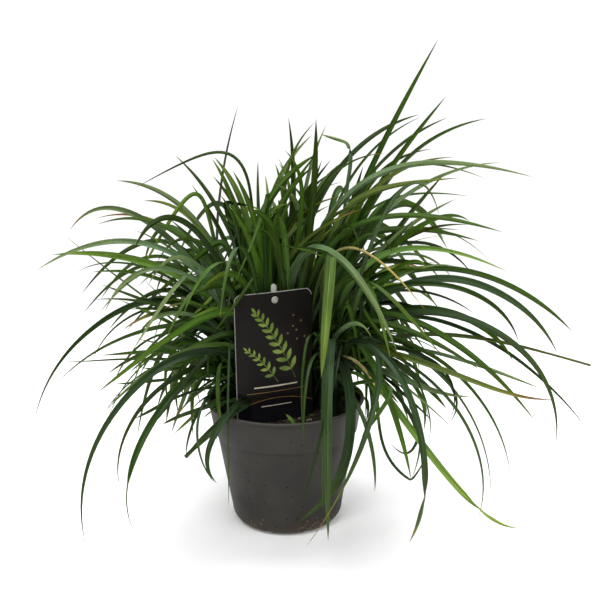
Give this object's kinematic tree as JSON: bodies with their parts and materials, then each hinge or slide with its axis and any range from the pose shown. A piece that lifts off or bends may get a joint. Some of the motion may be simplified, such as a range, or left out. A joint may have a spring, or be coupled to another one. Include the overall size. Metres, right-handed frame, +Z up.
{
  "type": "carex sedge in its nursery pot",
  "caption": "Clump of arching, grass-like sedge leaves growing in a round tapered nursery pot of soil, with a plain plant label.",
  "frame": {"origin": "the middle of the pot's flat base, on the surface that it stands on", "axes": "+Z up along the pot's axis; the label faces -Y"},
  "size_m": [0.59, 0.4328, 0.51],
  "materials": {
    "pot_plastic": "moulded taupe-grey plastic, satin, with specks of soil",
    "potting_soil": "dark, damp, crumbly potting mix",
    "card_plastic": "near-black printed plastic card, soft gloss",
    "stake_plastic": "pale grey moulded plastic",
    "straw": "dry straw-coloured leaf, matt",
    "leaf": "green sedge leaf, satin, grooved along its middle"
  },
  "bodies": {
    "root": {"pot": "pot_plastic", "soil": "potting_soil", "label_card": "card_plastic", "label_stake": "stake_plastic", "dry_tuft": "straw", "tuft_01": "leaf", "tuft_02": "leaf", "tuft_03": "leaf", "tuft_04": "leaf", "tuft_05": "leaf", "tuft_06": "leaf", "tuft_07": "leaf", "tuft_08": "leaf", "tuft_09": "leaf", "tuft_10": "leaf", "tuft_11": "leaf", "tuft_12": "leaf", "tuft_13": "leaf", "tuft_14": "leaf", "tuft_15": "leaf", "tuft_16": "leaf", "tuft_17": "leaf", "tuft_18": "leaf", "tuft_19": "leaf", "tuft_20": "leaf", "tuft_21": "leaf", "tuft_22": "leaf", "tuft_23": "leaf", "tuft_24": "leaf"}
  },
  "joints": []
}
